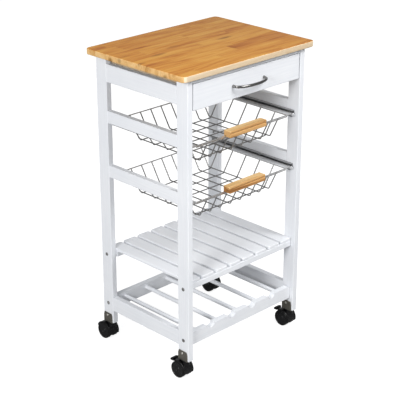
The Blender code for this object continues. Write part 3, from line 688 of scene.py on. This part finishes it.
def make_wheels(name, body, centre):
    """Two wheels on one axle, each with a rounded tread, a dished face and a raised hub."""
    shape = bmesh.new()
    r = AXLE_HEIGHT
    middle = Vector(centre)
    profile = [(0.0064, 0.0030), (0.0064, r - 0.0016), (0.0070, r - 0.0005), (0.0080, r),
               (0.0165, r), (0.0178, r - 0.0005), (0.0185, r - 0.0017), (0.0185, r - 0.0040),
               (0.0176, r - 0.0052), (0.0176, 0.0085), (0.0182, 0.0078), (0.0182, 0.0042),
               (0.0176, 0.0036), (0.0176, 0.0012)]
    for sign in (-1, 1):
        for face in lathe(shape, centre, (sign, 0, 0), profile, 48):
            radial = sum((v.co - middle).yz.length for v in face.verts) / len(face.verts)
            if radial > r - 0.0012 and len(face.verts) == 4:
                face.material_index = 1
    lathe(shape, centre, (1, 0, 0), [(-0.0068, 0.0025), (0.0068, 0.0025)], 16)
    new_piece(f"{name}_twin_wheels", shape, [NYLON, TYRE], body,
              [f"{name}_wheels"], 35)


def add_hood_shell(shape, axle, back_angle):
    """The curved cover over the wheels, with a raised lip along each side."""
    w, lip = HOOD_HALF_WIDTH, HOOD_OUTER + HOOD_LIP
    section = [(-w, HOOD_INNER), (-w, HOOD_OUTER + 0.0003), (-w + 0.0004, lip),
               (-w + 0.0016, lip), (-w + 0.0024, HOOD_OUTER), (w - 0.0024, HOOD_OUTER),
               (w - 0.0016, lip), (w - 0.0004, lip), (w, HOOD_OUTER + 0.0003), (w, HOOD_INNER)]
    rings = []
    for a in arc(HOOD_FRONT_ANGLE, back_angle, 30):
        out = Vector((0, math.cos(a), math.sin(a)))
        rings.append([axle + Vector((across, 0, 0)) + out * radius for across, radius in section])
    loft(shape, rings)


def add_web(shape, axle, back_angle):
    """The plate between the wheels: under the hood on the outside, round the axle inside."""
    first, last = back_angle + WEB_SETBACK, HOOD_FRONT_ANGLE - WEB_SETBACK
    outline = [(a, WEB_OUTER) for a in arc(first, last, 12)]
    outline += [(a, WEB_INNER) for a in arc(last, first + 360, 16)]
    loft(shape, [[axle + Vector((across, math.cos(a) * radius, math.sin(a) * radius))
                  for a, radius in outline] for across in (-WEB_HALF_WIDTH, WEB_HALF_WIDTH)])


def make_hood(name, body, x, y, end):
    """Hood, web and neck in one piece, and the stem's steel pin."""
    axle = Vector((x, y + TRAIL, AXLE_HEIGHT))
    shape = bmesh.new()
    add_hood_shell(shape, axle, HOOD_BACK_ANGLE[end])
    add_web(shape, axle, HOOD_BACK_ANGLE[end])
    plate_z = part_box(f"{name}_bracket")[0].z
    under = plate_z - BRACKET_GAP
    centre = Vector((x, y, 0.0))
    lathe(shape, centre, (0, 0, 1),
          [(AXLE_HEIGHT + NECK_BASE, 0.0118), (under - 0.0090, 0.0108), (under - 0.0040, 0.0102),
           (under - 0.0032, 0.0108), (under - 0.0008, 0.0108), (under, 0.0100)], 36)
    new_piece(f"{name}_hood", shape, NYLON, body, [f"{name}_housing"], 35)
    pin = bmesh.new()
    lathe(pin, centre, (0, 0, 1), [(under - 0.002, STEM_RADIUS), (plate_z + 0.0270, STEM_RADIUS),
                                   (plate_z + 0.0290, 0.0028)], 24)
    new_piece(f"{name}_stem_pin", pin, SCREW_STEEL, body)


def make_lever(name, body):
    """The foot lever: a ribbed pad on an arm. Its outlines are shares of the lever's box."""
    low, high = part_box(f"{name}_brake_lever")
    x, half = (low.x + high.x) / 2, (high.x - low.x) / 2
    front, bottom = low.y, low.z
    depth, rise = high.y - front, high.z - bottom
    shape = bmesh.new()
    pad = [(0.46, 0.28), (0.98, 0.24), (1.0, 0.46), (0.97, 0.70), (0.86, 0.86), (0.60, 0.98),
           (0.46, 1.00), (0.42, 0.72)]
    rings = []
    for across, grow in ((-half, 0.90), (-half + 0.0008, 1.0), (half - 0.0008, 1.0), (half, 0.90)):
        rings.append([Vector((x + across, front + depth * (0.70 + (u - 0.70) * grow),
                              bottom + rise * (0.60 + (v - 0.60) * grow))) for u, v in pad])
    loft(shape, rings)
    arm = [(0.02, 0.18), (0.24, 0.02), (0.62, 0.20), (0.60, 0.70), (0.40, 0.84), (0.06, 0.66)]
    loft(shape, [[Vector((x + across, front + depth * u, bottom + rise * v)) for u, v in arm]
                 for across in (-0.0046, 0.0046)])
    for i in range(4):
        y = front + depth * (0.56 + 0.12 * i)
        z = bottom + rise * (0.985 - 0.085 * i)
        wire(shape, [(x - half + 0.002, y, z), (x + half - 0.002, y, z)], 0.00045, 6)
    new_piece(f"{name}_foot_lever", shape, NYLON, body, [f"{name}_brake_lever"], 35)


def make_plate_screws(name, y, low, high):
    """A pan-head screw on each outer cheek of the saddle plate."""
    shape = bmesh.new()
    for face_x, sign in ((low.x, -1), (high.x, 1)):
        lathe(shape, (face_x, y + PLATE_SCREW_BACK, PLATE_SCREW_HEIGHT), (sign, 0, 0),
              [(-0.0003, 0.0038), (0.0004, 0.0038), (0.0012, 0.0031), (0.0016, 0.0022),
               (0.0016, 0.0018, 1), (0.0007, 0.0018, 1)], 24, cross)
    new_piece(f"{name}_plate_screws", shape, SCREW_STEEL, "frame")


def make_casters():
    for end in ENDS:
        for side, _ in SIDES:
            name = f"caster_{end}_{side}"
            wheel_low, wheel_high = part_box(f"{name}_wheels")
            centre = (wheel_low + wheel_high) / 2
            x, y = centre.x, centre.y - TRAIL
            make_wheels(name, f"wheels_{end}_{side}", (x, centre.y, AXLE_HEIGHT))
            make_hood(name, f"swivel_{end}_{side}", x, y, end)
            if end == "front":
                make_lever(name, f"brake_front_{side}")
            make_plate_screws(name, y, *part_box(f"{name}_bracket"))


# ---- Fasteners ------------------------------------------------------------------------------

def make_bolts():
    """Socket-head bolts through the posts into the shelf and rack rails, each ringed by a
    near-black disc of painted shade for its recess.
    """
    shape = bmesh.new()
    shade_discs = bmesh.new()
    for end in ENDS:
        for side, sign in SIDES:
            low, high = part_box(f"post_{end}_{side}")
            face_x = high.x if sign > 0 else low.x
            for height in BOLT_HEIGHTS:
                centre = (face_x, (low.y + high.y) / 2, height)
                # A near-black disc of painted shade round each bolt head.
                lathe(shade_discs, centre, (sign, 0, 0),
                      [(-0.0005, 0.0050), (0.0002, 0.0050), (0.0004, 0.0046), (0.0002, 0.0040),
                       (-0.0003, 0.0038)], 28)
                lathe(shape, centre, (sign, 0, 0),
                      [(-0.0004, 0.0036), (0.0006, 0.0036), (0.0011, 0.0031), (0.0012, 0.0024),
                       (0.0012, 0.0018, 1), (0.0003, 0.0018, 1)], 24, hexagon)
    new_piece("bolt_recess_painted_shade", shade_discs, RECESS_PAINTED_SHADE, "frame")
    new_piece("frame_bolts", shape, BOLT_STEEL, "frame")


def make_runner_screws():
    """Screws that hold the channels, and the stop pins above their back ends."""
    shape = bmesh.new()
    for level, rim in RIMS.items():
        for side, sign in SIDES:
            low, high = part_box(f"runner_{level}_{side}")
            web_x = (high.x - RUNNER_SHEET) if sign > 0 else (low.x + RUNNER_SHEET)
            for y in (low.y + RUNNER_SCREW_INSET, (low.y + high.y) / 2,
                      high.y - RUNNER_SCREW_INSET):
                lathe(shape, (web_x, y, rim - RUNNER_SCREW_DROP), (-sign, 0, 0),
                      [(-0.0002, 0.0030), (0.0004, 0.0030), (0.0009, 0.0022), (0.0009, 0.0016, 1),
                       (0.0004, 0.0016, 1)], 20, cross)
            post_low, post_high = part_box(f"post_back_{side}")
            face_x = post_low.x if sign > 0 else post_high.x
            lathe(shape, (face_x, post_low.y + STOP_PIN_BACK, rim + STOP_PIN_RISE), (-sign, 0, 0),
                  [(-0.0002, 0.0016), (0.0060, 0.0016), (0.0060, 0.0030), (0.0074, 0.0026),
                   (0.0078, 0.0018), (0.0078, 0.0014, 1), (0.0068, 0.0014, 1)], 20, cross)
    new_piece("runner_screws", shape, BOLT_STEEL, "frame")


def make_slat_screws():
    """Countersunk screws, filled and painted over, that hold each slat to the two rails."""
    shape = bmesh.new()
    for i in range(SLATS):
        low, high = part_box(f"shelf_slat_{i + 1}")
        for end in ENDS:
            rail_low, rail_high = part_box(f"shelf_rail_{end}")
            lathe(shape, ((low.x + high.x) / 2, (rail_low.y + rail_high.y) / 2, high.z), (0, 0, 1),
                  [(-0.0004, 0.0034), (0.0001, 0.0034), (0.0003, 0.0028), (0.00015, 0.0012)], 20)
    new_piece("slat_screw_plugs", shape, PAINT_Y, "frame")


# ---- CAD nodes that stay --------------------------------------------------------------------

def dress_nodes():
    """Gives each CAD node that stays the material of its own kind and grain."""
    looks = {PAINT_Z: [f"post_{end}_{side}" for end in ENDS for side, _ in SIDES],
             PAINT_Y: [f"shelf_slat_{i + 1}" for i in range(SLATS)],
             PAINT_X: ["apron_back", "top_rail_front", "shelf_rail_front", "shelf_rail_back",
                       "rack_rail_front", "rack_rail_back", "drawer_front"],
             # The drawer's raw pine carries painted shade.
             RAW_PAINTED_SHADE_WOOD_Y: ["drawer_box", "drawer_bottom", "drawer_guide_left", "drawer_guide_right"],
             ZINC: [], BRONZE_STEEL: []}
    for side, _ in SIDES:
        looks[PAINT_Y] += [f"apron_{side}", f"bottom_rail_{side}"]
        for level in RIMS:
            looks[PAINT_Y].append(f"basket_rail_{level}_{side}")
            looks[ZINC].append(f"runner_{level}_{side}")
        for end in ENDS:
            looks[BRONZE_STEEL].append(f"caster_{end}_{side}_bracket")
    for material, names in looks.items():
        for name in names:
            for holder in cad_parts[name].material_slots:
                holder.material = material


# ---- Studio ---------------------------------------------------------------------------------

FLOOR_SIZE = 40.0
FLOOR_DROP = 0.0003           # below the wheels
FLOOR_SHINE = 0.86            # the white that the camera sees
FLOOR_BOUNCE = (0.36, 0.36, 0.36, 1.0)
WORLD_WHITE = (1.0, 1.0, 1.0, 1.0)
WORLD_LIGHT = (0.97, 0.98, 1.0, 1.0)
WORLD_STRENGTH = 0.42
LIGHT_AIM = (0.0, 0.0, 0.45)
LIGHTS = (("left_key", (-3.2, -1.1, 1.75), 1.3, 86.0),      # place, diameter and watts
          ("front_fill", (0.6, -2.4, 2.9), 1.6, 80.0),
          ("top_wash", (-0.5, -0.5, 3.6), 1.6, 8.0))
CAMERA_PLACE = (-2.1542, -2.1772, 1.6915)
CAMERA_TURN = (67.3, 0.0, -44.58)     # degrees
CAMERA_LENS = 108.8                   # mm
SENSOR_WIDTH = 36.0


def camera_sees(tree, unseen, seen, output):
    """Shows the camera one shader, and lights the object with another."""
    mixed = add(tree, "ShaderNodeMixShader")
    ray = add(tree, "ShaderNodeLightPath").outputs["Is Camera Ray"]
    tree.links.new(ray, mixed.inputs[0])
    tree.links.new(unseen.outputs[0], mixed.inputs[1])
    tree.links.new(seen.outputs[0], mixed.inputs[2])
    tree.links.new(mixed.outputs[0], tree.nodes[output].inputs["Surface"])


def make_floor():
    """A matt floor, white to the camera and pale grey to the light that it throws back."""
    material, tree, shader = new_material("studio_floor")
    mottle = noise(tree, spot_of(tree), 2.0, 3.0)
    tree.links.new(ramp(tree, mottle, [(0.3, (0.36, 0.36, 0.36)), (0.7, (0.38, 0.38, 0.38))]),
                   shader.inputs["Base Color"])
    tree.links.new(spread(tree, mottle, 0.3, 0.7, 0.82, 0.90), shader.inputs["Roughness"])
    shader.inputs["Specular IOR Level"].default_value = 0.1
    shader.inputs["Emission Color"].default_value = (1.0, 1.0, 1.0, 1.0)
    shader.inputs["Emission Strength"].default_value = FLOOR_SHINE
    bounce = add(tree, "ShaderNodeBsdfDiffuse", {"Color": FLOOR_BOUNCE})
    camera_sees(tree, bounce, shader, "Material Output")
    shape = bmesh.new()
    bmesh.ops.create_grid(shape, x_segments=8, y_segments=8, size=FLOOR_SIZE)
    mesh = bpy.data.meshes.new("floor")
    shape.to_mesh(mesh)
    shape.free()
    mesh.materials.append(material)
    floor = bpy.data.objects.new("floor", mesh)
    floor.location.z = -FLOOR_DROP
    bpy.context.scene.collection.objects.link(floor)


def make_world():
    """An even pale sky that the camera sees as plain white, shown without a film-like curve."""
    world = bpy.data.worlds.new("studio")
    world.use_nodes = True
    tree = world.node_tree
    soft = tree.nodes["Background"]
    soft.inputs["Color"].default_value = WORLD_LIGHT
    soft.inputs["Strength"].default_value = WORLD_STRENGTH
    backdrop = add(tree, "ShaderNodeBackground", {"Color": WORLD_WHITE, "Strength": 1.0})
    camera_sees(tree, soft, backdrop, "World Output")
    bpy.context.scene.world = world
    bpy.context.scene.view_settings.view_transform = "Standard"


def make_lights():
    for name, place, size, watts in LIGHTS:
        light = bpy.data.lights.new(name, "AREA")
        light.shape = "DISK"
        light.size = size
        light.energy = watts
        lamp = bpy.data.objects.new(name, light)
        lamp.location = place
        away = Vector(LIGHT_AIM) - Vector(place)
        lamp.rotation_euler = away.to_track_quat("-Z", "Y").to_euler()
        bpy.context.scene.collection.objects.link(lamp)


def make_camera():
    lens = bpy.data.cameras.new("camera")
    lens.lens = CAMERA_LENS
    lens.sensor_width = SENSOR_WIDTH
    camera = bpy.data.objects.new("camera", lens)
    camera.location = CAMERA_PLACE
    camera.rotation_euler = [math.radians(turn) for turn in CAMERA_TURN]
    bpy.context.scene.collection.objects.link(camera)
    bpy.context.scene.camera = camera


make_tabletop()
make_baskets()
make_drawer_handle()
make_dowels()
make_casters()
make_bolts()
make_runner_screws()
make_slat_screws()
dress_nodes()
make_floor()
make_world()
make_lights()
make_camera()
